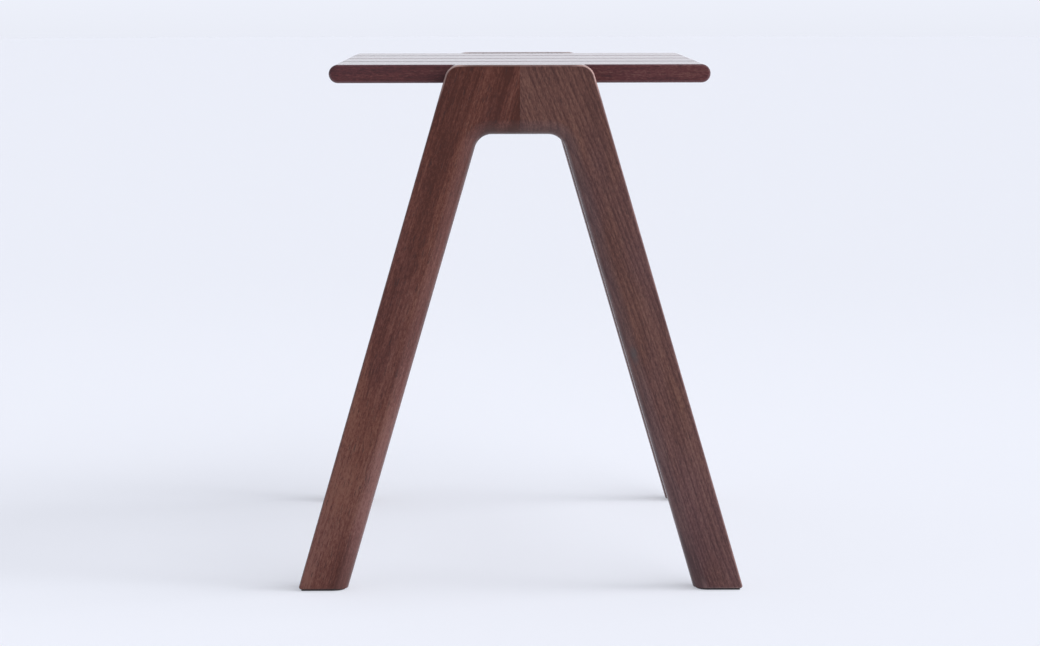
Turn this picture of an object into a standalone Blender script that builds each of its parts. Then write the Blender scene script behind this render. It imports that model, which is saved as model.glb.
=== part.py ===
"""A slatted walnut bench carried by two A-shaped end frames.

+X runs along the slats, +Y from the near frame to the far frame, +Z up. The origin is on the floor
under the middle of the seat. All lengths are in metres and all angles in degrees.
"""

import math

import bmesh
import bpy
from mathutils import Matrix, Vector

# The whole bench
SEAT_HEIGHT = 0.450  # floor to the top of the frames' heads
DEPTH = 0.450  # outer face to outer face of the two frames
JOINT_GAP = 0.0003  # glue line, or the play left between two pieces that meet

# End frames
FRAME_THICKNESS = 0.028
HEAD_HALF_WIDTH = 0.0603  # at the seat, before the corner is rounded
HEAD_DEPTH = 0.0588  # from the top of the head down to the arch
LEG_SPLAY = 16.27  # lean of each leg from upright
LEG_LEVEL_WIDTH = 0.0425  # measured level, across the leaning leg
HEAD_CORNER_RADIUS = 0.0125
ARCH_CORNER_RADIUS = 0.015
FOOT_CORNER_RADIUS = 0.0018  # softens the sharp outer corner of each foot
INNER_ROUND = 0.013  # round-over of the arch and the legs' inner edges, on both faces
OUTER_ROUND = 0.0017  # round-over of the head's top, the legs' outer edges and the feet

# Foot pads
PAD_THICKNESS = 0.0012
PAD_INSET = 0.0025  # from the leg's edge to the pad's
PAD_CORNER = 0.001
PAD_ARRIS = 0.0004

# Seat slats
SLAT_COUNT = 4
SLAT_LENGTH = 0.325
SLAT_THICKNESS = 0.0156
SLAT_GAP = 0.006
SLAT_ARRIS = 0.002
HEAD_PROUD = 0.0005  # the heads stand this much above the slats
SLAT_TO_HEAD = 0.0008

# Rails under the slats
RAIL_X = 0.045  # rail's middle, from the middle of the bench
RAIL_WIDTH = 0.024
RAIL_HEIGHT = 0.028
RAIL_ARRIS = 0.0015

# Loose tenons across each mitre
TENON_LENGTH = 0.036
TENON_THICKNESS = 0.008
TENON_HEIGHT = 0.018
TENON_DROPS = {"upper": 0.016, "lower": 0.042}  # from the head's top to the tenon's middle
TENON_ARRIS = 0.0006

# Dowels between the rails and the heads
DOWEL_RADIUS = 0.004
DOWEL_IN_HEAD = 0.016
DOWEL_IN_RAIL = 0.022
DOWEL_SPACING = 0.013
DOWEL_CHAMFER = 0.001

# Slat screws, driven from below through the rails
SHANK_RADIUS = 0.002
SHANK_LENGTH = 0.030
HEAD_RADIUS = 0.004
HEAD_HEIGHT = 0.0026
HEAD_CROWN_RADIUS = 0.0029
HEAD_RIM_HEIGHT = 0.0014
TIP_RADIUS = 0.0005
TIP_LENGTH = 0.005
COUNTERBORE_RADIUS = 0.0046
COUNTERBORE_DEPTH = 0.008

# How finely curves are divided
CORNER_STEPS = 8  # the head's and the arch's corners
FOOT_CORNER_STEPS = 3
INNER_ROUND_STEPS = 6
ARRIS_STEPS = 3
BULLNOSE_STEPS = 12
TENON_EDGE_STEPS = 6
RAIL_ARRIS_STEPS = 2
PAD_ROUND_STEPS = 6
PAD_CORNER_STEPS = 2
PAD_ARRIS_STEPS = 2
ROUND_SIDES = 16  # sides of a dowel or a dowel hole
SCREW_SIDES = 12
SHARP_ANGLE = 40
LEAST_STEP = 0.0001  # between two levels of a leg's round-overs
WELD_DISTANCE = 1e-6

# Levels that follow from the sizes above
FRAME_Y = (DEPTH - FRAME_THICKNESS) / 2  # middle of each frame
INNER_FACE_Y = DEPTH / 2 - FRAME_THICKNESS
SLAT_TOP_Z = SEAT_HEIGHT - HEAD_PROUD
SLAT_BOTTOM_Z = SLAT_TOP_Z - SLAT_THICKNESS
RAIL_TOP_Z = SLAT_BOTTOM_Z - JOINT_GAP
RAIL_BOTTOM_Z = RAIL_TOP_Z - RAIL_HEIGHT
SCREW_SEAT_Z = RAIL_BOTTOM_Z + COUNTERBORE_DEPTH - JOINT_GAP  # under the screws' heads
FOOT_Z = PAD_THICKNESS + JOINT_GAP
ARCH_Z = SEAT_HEIGHT - HEAD_DEPTH
SPLAY_RUN = math.tan(math.radians(LEG_SPLAY))  # sideways run of a leg for each metre of drop
SLAT_WIDTH = (
    2 * (INNER_FACE_Y - SLAT_TO_HEAD) - (SLAT_COUNT - 1) * SLAT_GAP
) / SLAT_COUNT


# ---- outlines, as lists of flat points ----


def fillet(corner, before, after, radius, steps):
    """Points of the arc that rounds a corner between two straight edges."""
    corner = Vector(corner)
    to_before = (Vector(before) - corner).normalized()
    to_after = (Vector(after) - corner).normalized()
    half_angle = to_before.angle(to_after) / 2
    centre = corner + (to_before + to_after).normalized() * radius / math.sin(half_angle)
    tangent = radius / math.tan(half_angle)
    start = corner + to_before * tangent - centre
    turn = start.angle_signed(corner + to_after * tangent - centre)
    return [
        centre + Matrix.Rotation(-turn * step / steps, 2) @ start
        for step in range(steps + 1)
    ]


def leg_edge_x(z, inset=0.0):
    """Distance of a leg's outer edge from the middle of the bench at height z."""
    return HEAD_HALF_WIDTH - inset + SPLAY_RUN * (SEAT_HEIGHT - z)


def leg_outline():
    """One leg with its half of the head: its points, and the round-over of the edge after each."""
    seam = JOINT_GAP / 2
    head_corner = (HEAD_HALF_WIDTH, SEAT_HEIGHT)
    outer_foot = (leg_edge_x(FOOT_Z), FOOT_Z)
    inner_foot = (leg_edge_x(FOOT_Z, LEG_LEVEL_WIDTH), FOOT_Z)
    arch_corner = (leg_edge_x(ARCH_Z, LEG_LEVEL_WIDTH), ARCH_Z)
    seam_top = (seam, SEAT_HEIGHT)
    seam_bottom = (seam, ARCH_Z)
    head = fillet(head_corner, seam_top, outer_foot, HEAD_CORNER_RADIUS, CORNER_STEPS)
    foot = fillet(outer_foot, head_corner, inner_foot, FOOT_CORNER_RADIUS, FOOT_CORNER_STEPS)
    arch = fillet(arch_corner, inner_foot, seam_bottom, ARCH_CORNER_RADIUS, CORNER_STEPS)
    stretches = (
        ([seam_top], OUTER_ROUND),
        (head, OUTER_ROUND),
        (foot, OUTER_ROUND),
        ([inner_foot], INNER_ROUND),
        (arch, INNER_ROUND),
        ([seam_bottom], 0.0),
    )
    points = [Vector(point) for stretch, _ in stretches for point in stretch]
    rounds = [radius for stretch, radius in stretches for _ in stretch]
    return points, rounds


def stadium_outline(length, height, steps):
    """A bar with half-round ends, lying along the first axis and centred on the origin."""
    radius = height / 2
    points = []
    for side in (1, -1):
        centre = Vector((side * (length / 2 - radius), 0))
        for step in range(steps + 1):
            angle = math.pi * step / steps - side * math.pi / 2
            points.append(centre + radius * Vector((math.cos(angle), math.sin(angle))))
    return points[::-1]


def pad_outline():
    """Footprint of a right-hand leg, a little inside its edges, rounder on the inner side."""
    half_x = LEG_LEVEL_WIDTH / 2 - PAD_INSET
    half_y = FRAME_THICKNESS / 2 - PAD_INSET
    corners = [(-half_x, half_y), (half_x, half_y), (half_x, -half_y), (-half_x, -half_y)]
    points = []
    for index, corner in enumerate(corners):
        inner = corner[0] < 0
        radius = INNER_ROUND - PAD_INSET if inner else PAD_CORNER
        steps = PAD_ROUND_STEPS if inner else PAD_CORNER_STEPS
        points += fillet(corner, corners[index - 1], corners[(index + 1) % 4], radius, steps)
    return points


def inset_outline(points, insets):
    """The outline with each edge moved inwards by its own distance. The points run clockwise."""
    count = len(points)
    lines = []
    for index in range(count):
        along = (points[(index + 1) % count] - points[index]).normalized()
        inwards = Vector((along.y, -along.x))
        lines.append((points[index] + inwards * insets[index], along))
    moved = []
    for index in range(count):
        (start, along), (other, onward) = lines[index - 1], lines[index]
        across = along.x * onward.y - along.y * onward.x
        to_other = other - start
        share = (to_other.x * onward.y - to_other.y * onward.x) / across
        moved.append(start + along * share)
    return moved


def round_inset(radius, depth):
    """How far a quarter-round of this radius has cut the edge back, at a depth below the face."""
    if depth >= radius:
        return 0.0
    return radius - math.sqrt(radius**2 - (radius - depth) ** 2)


def round_depths(radius, steps):
    """Depths below the face that divide a quarter-round evenly."""
    return [radius * (1 - math.cos(math.pi / 2 * step / steps)) for step in range(steps + 1)]


# ---- meshes ----


def add_loft(bm, loops):
    """Adds the closed solid through a row of loops that have the same number of points."""
    rings = [[bm.verts.new(point) for point in loop] for loop in loops]
    for ring, following in zip(rings, rings[1:]):
        for index in range(len(ring)):
            onward = (index + 1) % len(ring)
            bm.faces.new((ring[index], ring[onward], following[onward], following[index]))
    bm.faces.new(rings[0])
    bm.faces.new(rings[-1])


def add_plate(bm, points, rounds, thickness, depths, place):
    """Adds a plate of this outline with its edges rounded on both faces.

    place turns an outline's x and y, and a level through the thickness, into a point.
    """
    half = thickness / 2
    levels = [-half + depth for depth in depths] + [half - depth for depth in reversed(depths)]
    loops = []
    for level in levels:
        insets = [round_inset(radius, half - abs(level)) for radius in rounds]
        moved = inset_outline(points, insets)
        loops.append([place(point.x, point.y, level) for point in moved])
    add_loft(bm, loops)


def add_turned(bm, profile, sides, matrix):
    """Adds the closed solid that (radius, height) points make when they are turned about Z."""
    verts = [bm.verts.new((radius, 0, height)) for radius, height in profile]
    edges = [bm.edges.new(pair) for pair in zip(verts, verts[1:])]
    spun = bmesh.ops.spin(
        bm,
        geom=verts + edges,
        cent=(0, 0, 0),
        axis=(0, 0, 1),
        angle=2 * math.pi,
        steps=sides,
        use_merge=True,
    )
    turned = set(verts)
    fresh = list(verts)
    fresh += [item for item in spun["geom_last"] if isinstance(item, bmesh.types.BMVert)]
    while fresh:
        for edge in fresh.pop().link_edges:
            for vert in edge.verts:
                if vert not in turned:
                    turned.add(vert)
                    fresh.append(vert)
    bmesh.ops.transform(bm, matrix=matrix, verts=list(turned))


def mesh_from(name, bm):
    """Turns a finished bmesh into a smooth-shaded mesh whose corners stay crisp."""
    bmesh.ops.remove_doubles(bm, verts=bm.verts, dist=WELD_DISTANCE)
    bmesh.ops.recalc_face_normals(bm, faces=bm.faces)
    mesh = bpy.data.meshes.new(name)
    bm.to_mesh(mesh)
    bm.free()
    mesh.shade_smooth()
    mesh.set_sharp_from_angle(angle=math.radians(SHARP_ANGLE))
    return mesh


def upright(x, y, level):
    """Puts a plate's outline in the XZ plane and its thickness along Y."""
    return Vector((x, level, y))


def lying(x, y, level):
    """Puts a plate's outline in the XY plane and its thickness along Z."""
    return Vector((x, y, level))


# ---- objects ----


def clear_scene():
    for obj in list(bpy.data.objects):
        bpy.data.objects.remove(obj)


def make_material(name, colour, roughness, metallic=0.0):
    material = bpy.data.materials.new(name)
    material.use_nodes = True
    shader = material.node_tree.nodes["Principled BSDF"]
    shader.inputs["Base Color"].default_value = (*colour, 1.0)
    shader.inputs["Roughness"].default_value = roughness
    shader.inputs["Metallic"].default_value = metallic
    return material


def place_object(name, mesh, parent, location=(0, 0, 0), half_turn=False):
    obj = bpy.data.objects.new(name, mesh)
    obj.parent = parent
    obj.location = location
    obj.rotation_euler.z = math.pi if half_turn else 0.0
    bpy.context.scene.collection.objects.link(obj)
    return obj


def place_piece(name, mesh, material, parent, location=(0, 0, 0), half_turn=False):
    if not mesh.materials:
        mesh.materials.append(material)
    return place_object(name, mesh, parent, location, half_turn)


def cut(piece, cutter):
    """Takes the cutter's shape out of the piece."""
    cutter.hide_render = True
    cutter.display_type = "WIRE"
    modifier = piece.modifiers.new("holes", "BOOLEAN")
    modifier.object = cutter
    modifier.operation = "DIFFERENCE"
    modifier.solver = "EXACT"


def along_y(x, y, z):
    """Placement that lays something turned about Z along +Y, with its base at the point given."""
    return Matrix.Translation((x, y, z)) @ Matrix.Rotation(-math.pi / 2, 4, "X")


def hole_profile(radius, top, bottom):
    return [(0.0, top), (radius, top), (radius, bottom), (0.0, bottom)]


# ---- the bench's own pieces. A right-hand near leg stands at +X in the frame at -Y. ----


def tenon_loft(bm, z, grow=0.0, chamfer=0.0):
    """A loose tenon across the mitre at height z, or the mortise for it when grown."""
    half = TENON_LENGTH / 2 + grow
    outline = stadium_outline(
        TENON_HEIGHT + 2 * grow, TENON_THICKNESS + 2 * grow, TENON_EDGE_STEPS
    )
    stops = [(-half, chamfer), (half, chamfer)]
    if chamfer:
        stops[1:1] = [(-half + chamfer, 0.0), (half - chamfer, 0.0)]
    loops = []
    for x, inset in stops:
        ring = inset_outline(outline, [inset] * len(outline))
        loops.append([Vector((x, point.y, z + point.x)) for point in ring])
    add_loft(bm, loops)


def leg_mesh():
    points, rounds = leg_outline()
    inner_depths = round_depths(INNER_ROUND, INNER_ROUND_STEPS)
    outer_depths = round_depths(OUTER_ROUND, ARRIS_STEPS)
    depths = outer_depths[:1]
    for depth in sorted(inner_depths + outer_depths):
        if depth - depths[-1] > LEAST_STEP:
            depths.append(depth)
    bm = bmesh.new()
    add_plate(bm, points, rounds, FRAME_THICKNESS, depths, upright)
    return mesh_from("leg", bm)


def leg_cutter_mesh():
    """Mortises at the mitre and dowel holes in the inner face, for the same leg."""
    bm = bmesh.new()
    for drop in TENON_DROPS.values():
        tenon_loft(bm, SEAT_HEIGHT - drop, grow=JOINT_GAP)
    radius = DOWEL_RADIUS + JOINT_GAP
    bottom = FRAME_THICKNESS / 2 - DOWEL_IN_HEAD - JOINT_GAP
    for z in dowel_levels():
        profile = hole_profile(radius, DOWEL_IN_HEAD + 2 * JOINT_GAP + DOWEL_CHAMFER, 0.0)
        add_turned(bm, profile, ROUND_SIDES, along_y(RAIL_X, bottom, z))
    return mesh_from("leg_cutter", bm)


def mirrored(mesh, name):
    """A copy of the mesh for the other hand."""
    copy = mesh.copy()
    copy.name = name
    copy.transform(Matrix.Scale(-1, 4, Vector((1, 0, 0))))
    copy.flip_normals()
    return copy


def foot_x():
    """Middle of a right-hand foot."""
    return leg_edge_x(FOOT_Z, LEG_LEVEL_WIDTH / 2)


def dowel_levels():
    middle = RAIL_TOP_Z - RAIL_HEIGHT / 2
    return (middle - DOWEL_SPACING / 2, middle + DOWEL_SPACING / 2)


def slat_positions():
    pitch = SLAT_WIDTH + SLAT_GAP
    return [(index - (SLAT_COUNT - 1) / 2) * pitch for index in range(SLAT_COUNT)]


def slat_mesh():
    outline = stadium_outline(SLAT_LENGTH, SLAT_THICKNESS, BULLNOSE_STEPS)
    rounds = [SLAT_ARRIS] * len(outline)
    bm = bmesh.new()
    depths = round_depths(SLAT_ARRIS, ARRIS_STEPS)
    add_plate(bm, outline, rounds, SLAT_WIDTH, depths, upright)
    return mesh_from("slat", bm)


def slat_cutter_mesh():
    """Pilot holes in a slat's underside, about the slat's own middle."""
    bm = bmesh.new()
    below = -SLAT_THICKNESS / 2 - JOINT_GAP
    top = SCREW_SEAT_Z + SHANK_LENGTH + JOINT_GAP - (SLAT_TOP_Z - SLAT_THICKNESS / 2)
    for x in (-RAIL_X, RAIL_X):
        profile = hole_profile(SHANK_RADIUS + JOINT_GAP, top, below)
        add_turned(bm, profile, SCREW_SIDES, Matrix.Translation((x, 0, 0)))
    return mesh_from("slat_cutter", bm)


def rail_length():
    return 2 * (INNER_FACE_Y - JOINT_GAP)


def rail_mesh():
    bm = bmesh.new()
    size = Matrix.Diagonal((RAIL_WIDTH, rail_length(), RAIL_HEIGHT, 1))
    bmesh.ops.create_cube(bm, size=1, matrix=size)
    long_edges = [edge for edge in bm.edges if edge.calc_length() > RAIL_HEIGHT * 2]
    bmesh.ops.bevel(
        bm,
        geom=long_edges,
        offset=RAIL_ARRIS,
        segments=RAIL_ARRIS_STEPS,
        affect="EDGES",
        profile=0.5,
    )
    return mesh_from("rail", bm)


def rail_cutter_mesh():
    """Dowel holes in both ends and counterbored screw holes, about the rail's own middle."""
    bm = bmesh.new()
    middle = RAIL_TOP_Z - RAIL_HEIGHT / 2
    reach = DOWEL_IN_RAIL + JOINT_GAP
    end = rail_length() / 2
    for base in (-end - JOINT_GAP, end + JOINT_GAP - reach):
        for z in dowel_levels():
            profile = hole_profile(DOWEL_RADIUS + JOINT_GAP, reach, 0.0)
            add_turned(bm, profile, ROUND_SIDES, along_y(0, base, z - middle))
    floor = COUNTERBORE_DEPTH - RAIL_HEIGHT / 2
    mouth = -RAIL_HEIGHT / 2 - JOINT_GAP
    top = RAIL_HEIGHT / 2 + JOINT_GAP
    profile = [
        (0.0, top),
        (SHANK_RADIUS + JOINT_GAP, top),
        (SHANK_RADIUS + JOINT_GAP, floor),
        (COUNTERBORE_RADIUS, floor),
        (COUNTERBORE_RADIUS, mouth),
        (0.0, mouth),
    ]
    for y in slat_positions():
        add_turned(bm, profile, SCREW_SIDES, Matrix.Translation((0, y, 0)))
    return mesh_from("rail_cutter", bm)


def dowel_mesh():
    """A dowel standing on its end, with both ends chamfered."""
    length = DOWEL_IN_HEAD + DOWEL_IN_RAIL
    waist = DOWEL_RADIUS - DOWEL_CHAMFER
    profile = [
        (0.0, length),
        (waist, length),
        (DOWEL_RADIUS, length - DOWEL_CHAMFER),
        (DOWEL_RADIUS, DOWEL_CHAMFER),
        (waist, 0.0),
        (0.0, 0.0),
    ]
    bm = bmesh.new()
    add_turned(bm, profile, ROUND_SIDES, Matrix.Identity(4))
    mesh = mesh_from("dowel", bm)
    mesh.transform(along_y(0, -DOWEL_IN_HEAD, 0))
    return mesh


def tenon_mesh():
    bm = bmesh.new()
    tenon_loft(bm, 0.0, chamfer=TENON_ARRIS)
    return mesh_from("mitre_tenon", bm)


def screw_mesh():
    """A pan-head screw with its head's seat at height 0, the shank upwards and the head below."""
    profile = [
        (0.0, SHANK_LENGTH),
        (TIP_RADIUS, SHANK_LENGTH),
        (SHANK_RADIUS, SHANK_LENGTH - TIP_LENGTH),
        (SHANK_RADIUS, 0.0),
        (HEAD_RADIUS, 0.0),
        (HEAD_RADIUS, -HEAD_RIM_HEIGHT),
        (HEAD_CROWN_RADIUS, -HEAD_HEIGHT),
        (0.0, -HEAD_HEIGHT),
    ]
    bm = bmesh.new()
    add_turned(bm, profile, SCREW_SIDES, Matrix.Identity(4))
    return mesh_from("slat_screw", bm)


def pad_mesh():
    outline = pad_outline()
    rounds = [PAD_ARRIS] * len(outline)
    bm = bmesh.new()
    depths = round_depths(PAD_ARRIS, PAD_ARRIS_STEPS)
    add_plate(bm, outline, rounds, PAD_THICKNESS, depths, lying)
    mesh = mesh_from("foot_pad", bm)
    mesh.transform(Matrix.Translation((foot_x(), 0, PAD_THICKNESS / 2)))
    return mesh


# ---- assembly ----


def make_end_frames(bench, walnut, beech, rubber):
    """Both A-frames. The far frame is the near one turned half round, which swaps left and right."""
    right = (leg_mesh(), leg_cutter_mesh(), pad_mesh())
    left = tuple(mirrored(mesh, f"{mesh.name}_mirrored") for mesh in right)
    tenon = tenon_mesh()
    for end, end_y, turned in (("near", -FRAME_Y, False), ("far", FRAME_Y, True)):
        at = (0, end_y, 0)
        hands = {"right": left, "left": right} if turned else {"right": right, "left": left}
        for side, (leg, leg_cutter, pad) in hands.items():
            leg_object = place_piece(f"{end}_{side}_leg", leg, walnut, bench, at, turned)
            cut(leg_object, place_object(f"cutter_{end}_{side}_leg", leg_cutter, bench, at, turned))
            place_piece(f"{end}_{side}_foot_pad", pad, rubber, bench, at, turned)
        for level, drop in TENON_DROPS.items():
            where = (0, end_y, SEAT_HEIGHT - drop)
            place_piece(f"{end}_{level}_mitre_tenon", tenon, beech, bench, where)


def make_rails(bench, walnut, beech):
    rail = rail_mesh()
    rail_cutter = rail_cutter_mesh()
    dowel = dowel_mesh()
    middle = RAIL_TOP_Z - RAIL_HEIGHT / 2
    for side, x in (("left", -RAIL_X), ("right", RAIL_X)):
        at = (x, 0, middle)
        rail_object = place_piece(f"{side}_rail", rail, walnut, bench, at)
        cut(rail_object, place_object(f"cutter_{side}_rail", rail_cutter, bench, at))
        for end, end_y, turned in (("near", -INNER_FACE_Y, False), ("far", INNER_FACE_Y, True)):
            for level, z in zip(("lower", "upper"), dowel_levels()):
                name = f"{end}_{side}_{level}_dowel"
                place_piece(name, dowel, beech, bench, (x, end_y, z), turned)


def make_seat(bench, walnut, steel):
    slat = slat_mesh()
    slat_cutter = slat_cutter_mesh()
    screw = screw_mesh()
    for number, y in enumerate(slat_positions(), start=1):
        at = (0, y, SLAT_TOP_Z - SLAT_THICKNESS / 2)
        slat_object = place_piece(f"slat_{number}", slat, walnut, bench, at)
        cut(slat_object, place_object(f"cutter_slat_{number}", slat_cutter, bench, at))
        for side, x in (("left", -RAIL_X), ("right", RAIL_X)):
            place_piece(f"slat_{number}_{side}_screw", screw, steel, bench, (x, y, SCREW_SEAT_Z))


def main():
    clear_scene()
    bench = bpy.data.objects.new("bench", None)
    bpy.context.scene.collection.objects.link(bench)
    walnut = make_material("oiled_walnut", (0.125, 0.055, 0.043), 0.42)
    beech = make_material("beech", (0.58, 0.38, 0.22), 0.6)
    rubber = make_material("dark_rubber", (0.022, 0.02, 0.022), 0.75)
    steel = make_material("zinc_plated_steel", (0.55, 0.54, 0.52), 0.35, 1.0)
    make_end_frames(bench, walnut, beech, rubber)
    make_rails(bench, walnut, beech)
    make_seat(bench, walnut, steel)


main()
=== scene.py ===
import math
import random

import bmesh
import bpy
from mathutils import Matrix, Vector


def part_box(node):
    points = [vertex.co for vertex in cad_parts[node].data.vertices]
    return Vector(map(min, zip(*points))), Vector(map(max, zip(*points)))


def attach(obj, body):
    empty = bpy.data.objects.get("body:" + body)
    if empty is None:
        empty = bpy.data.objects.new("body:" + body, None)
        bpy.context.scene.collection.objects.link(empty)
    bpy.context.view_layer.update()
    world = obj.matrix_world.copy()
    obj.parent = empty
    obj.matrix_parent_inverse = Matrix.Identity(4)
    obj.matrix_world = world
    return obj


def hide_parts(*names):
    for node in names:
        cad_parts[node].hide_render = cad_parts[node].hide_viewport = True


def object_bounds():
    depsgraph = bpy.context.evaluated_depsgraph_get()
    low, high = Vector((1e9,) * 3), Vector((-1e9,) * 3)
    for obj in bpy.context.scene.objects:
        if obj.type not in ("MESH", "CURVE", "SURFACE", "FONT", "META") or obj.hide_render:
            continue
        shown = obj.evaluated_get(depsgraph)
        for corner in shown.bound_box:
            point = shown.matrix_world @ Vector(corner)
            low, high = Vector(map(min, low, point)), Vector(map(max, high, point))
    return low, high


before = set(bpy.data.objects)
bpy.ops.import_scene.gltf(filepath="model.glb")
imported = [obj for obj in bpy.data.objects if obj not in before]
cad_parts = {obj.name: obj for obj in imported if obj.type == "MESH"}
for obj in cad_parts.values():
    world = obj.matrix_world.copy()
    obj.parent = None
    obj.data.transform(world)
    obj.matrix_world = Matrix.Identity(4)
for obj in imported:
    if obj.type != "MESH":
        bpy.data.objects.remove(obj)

CAD_LOW, CAD_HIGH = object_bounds()

# ---- sizes, read from the frame's boxes where a box gives them ----

LEG_LOW, LEG_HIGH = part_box("near_right_leg")
SLAT_LOW, SLAT_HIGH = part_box("slat_1")
RAIL_LOW, RAIL_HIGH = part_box("right_rail")
PAD_LOW, PAD_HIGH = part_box("near_right_foot_pad")
SCREW_LOW, SCREW_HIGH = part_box("slat_1_right_screw")
DOWEL_LOW, DOWEL_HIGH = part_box("near_right_upper_dowel")

ROUNDING = 0.000001  # keeps the pieces inside the frame's box when floats round up
SEAT_HEIGHT = LEG_HIGH.z - ROUNDING
FRAME_THICKNESS = LEG_HIGH.y - LEG_LOW.y
FRAME_Y = -(LEG_LOW.y + LEG_HIGH.y) / 2
FOOT_Z = LEG_LOW.z
SLAT_LENGTH = SLAT_HIGH.x - SLAT_LOW.x
SLAT_WIDTH = SLAT_HIGH.y - SLAT_LOW.y
SLAT_THICKNESS = SLAT_HIGH.z - SLAT_LOW.z
RAIL_WIDTH = RAIL_HIGH.x - RAIL_LOW.x
RAIL_HEIGHT = RAIL_HIGH.z - RAIL_LOW.z
PAD_THICKNESS = PAD_HIGH.z - PAD_LOW.z

# The shape sizes below are part.py's own, all but the foot's corner
HEAD_HALF_WIDTH = 0.0603
HEAD_DEPTH = 0.0588
LEG_SPLAY = math.radians(16.27)
LEG_LEVEL_WIDTH = 0.0425
HEAD_CORNER_RADIUS = 0.0125
ARCH_CORNER_RADIUS = 0.015
FOOT_CORNER_RADIUS = 0.00203  # the coarser CAD arc of 1.8 mm reaches no further out
INNER_ROUND = 0.013
OUTER_ROUND = 0.0017
SLAT_ARRIS = 0.002
RAIL_ARRIS = 0.0015
PAD_INSET = 0.0025
PAD_ARRIS = 0.0004
PAD_CORNER = 0.001
PLAY = 0.0003
SHANK_RADIUS = 0.002
HEAD_RADIUS = 0.004
SCREW_HEAD_HEIGHT = 0.0026
COUNTERBORE_RADIUS = 0.0046
SLATS = (1, 2, 3, 4)

GLUE_LINE = 0.00006  # what is left open at a mitre once it is glued
SPLAY_RUN = math.tan(LEG_SPLAY)
ARCH_Z = SEAT_HEIGHT - HEAD_DEPTH

# Shares of edge wear, whose paler colour also paints a highlight or reflection on the edges. The head's
# corners get the most, for their bright painted highlight
HEAD_TOP_WEAR_AND_HIGHLIGHT = 1.0
HEAD_CORNER_WEAR_AND_HIGHLIGHT = 3.0
OUTER_WEAR_AND_HIGHLIGHT = 0.5
INNER_WEAR_AND_REFLECTION = 0.25
# the right foot's bottom arris gets a painted highlight, the left foot's none
FOOT_WEAR_AND_HIGHLIGHT = {"left": 0.0, "right": 0.6}
# the slats' top arrises get a faint painted highlight, their lower arrises a painted reflection of the
# pale floor
SLAT_WEAR_AND_HIGHLIGHT_ABOVE = 0.35
SLAT_WEAR_AND_REFLECTION_BELOW = 1.2
PAD_WEAR = 1.0

# How many steps a curve or a long edge is divided into
HEAD_TOP_STEPS = 6
HEAD_CORNER_STEPS = 20
LEG_EDGE_STEPS = 40
FOOT_CORNER_STEPS = 8
ARCH_CORNER_STEPS = 24
ARCH_TOP_STEPS = 4
INNER_ROUND_STEPS = 14
OUTER_ROUND_STEPS = 6
SLAT_END_STEPS = 28
SLAT_EDGE_STEPS = 24
SLAT_ARRIS_STEPS = 7
RAIL_ARRIS_STEPS = 6
PAD_ROUND_STEPS = 16
PAD_CORNER_STEPS = 5
PAD_ARRIS_STEPS = 4
MORTISE_STEPS = 16
HOLE_SIDES = 32
COUNTERBORE_SIDES = 40
SCREW_SIDES = 32
DOWEL_SIDES = 96

PARALLEL = 1e-6  # two edges whose directions cross less than this are one straight line
LEAST_DEPTH_STEP = 0.00004
SHARP_ANGLE = math.radians(35)
FACE_AREA_WEIGHT = 80


# ---- outlines ----


def fillet(corner, before, after, radius, steps):
    """Points of the arc that rounds a corner between two straight edges."""
    corner = Vector(corner)
    to_before = (Vector(before) - corner).normalized()
    to_after = (Vector(after) - corner).normalized()
    half_angle = to_before.angle(to_after) / 2
    centre = corner + (to_before + to_after).normalized() * radius / math.sin(half_angle)
    tangent = radius / math.tan(half_angle)
    start = corner + to_before * tangent - centre
    turn = start.angle_signed(corner + to_after * tangent - centre)
    return [
        centre + Matrix.Rotation(-turn * step / steps, 2) @ start
        for step in range(steps + 1)
    ]


def straight(start, end, steps):
    """Points strictly between two points."""
    start, end = Vector(start), Vector(end)
    return [start.lerp(end, step / steps) for step in range(1, steps)]


def leg_edge_x(z, inset=0.0):
    return HEAD_HALF_WIDTH - inset + SPLAY_RUN * (SEAT_HEIGHT - z)


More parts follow.
